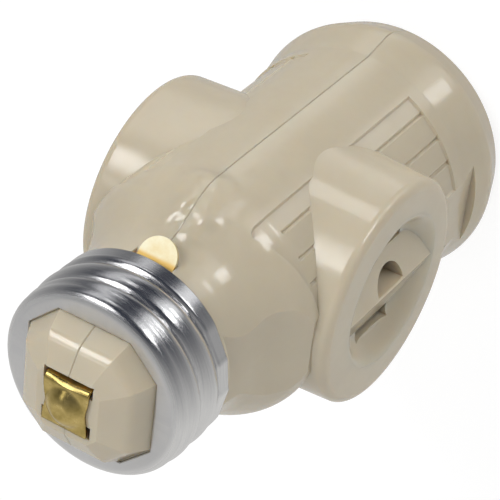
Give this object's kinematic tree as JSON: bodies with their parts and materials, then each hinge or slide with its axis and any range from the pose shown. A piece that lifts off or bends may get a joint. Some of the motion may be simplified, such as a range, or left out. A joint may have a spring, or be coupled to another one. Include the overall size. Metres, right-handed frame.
{
  "type": "lamp socket adapter",
  "caption": "Lamp socket adapter: a split moulded housing with a screw base at one end, a lamp socket at the other and a plug outlet on each side.",
  "frame": {"origin": "centre of the lamp socket's rim, on the plane that the part stands on", "axes": "+Z along the common axis of socket and screw base, towards the base; the outlets face -X and +X"},
  "size_m": [0.0368, 0.036, 0.0766],
  "materials": {
    "housing": "glossy ivory moulded thermoset",
    "screw_shell": "bright rolled sheet",
    "contact": "stamped sheet",
    "rivet": "plain"
  },
  "bodies": {
    "root": {"housing_right": "housing", "housing_left": "housing", "base_shell": "screw_shell", "socket_shell": "screw_shell", "base_contact": "contact", "neutral_strap": "contact", "neutral_bus": "contact", "hot_bus": "contact", "socket_contact": "contact", "clip_left_hot": "contact", "clip_left_neutral": "contact", "clip_right_hot": "contact", "clip_right_neutral": "contact", "clip_rivet_left_hot": "rivet", "clip_rivet_left_neutral": "rivet", "clip_rivet_right_hot": "rivet", "clip_rivet_right_neutral": "rivet", "hot_strap_rivet": "rivet", "neutral_strap_rivet": "rivet", "socket_shell_rivet": "rivet", "socket_contact_rivet": "rivet"}
  },
  "joints": []
}
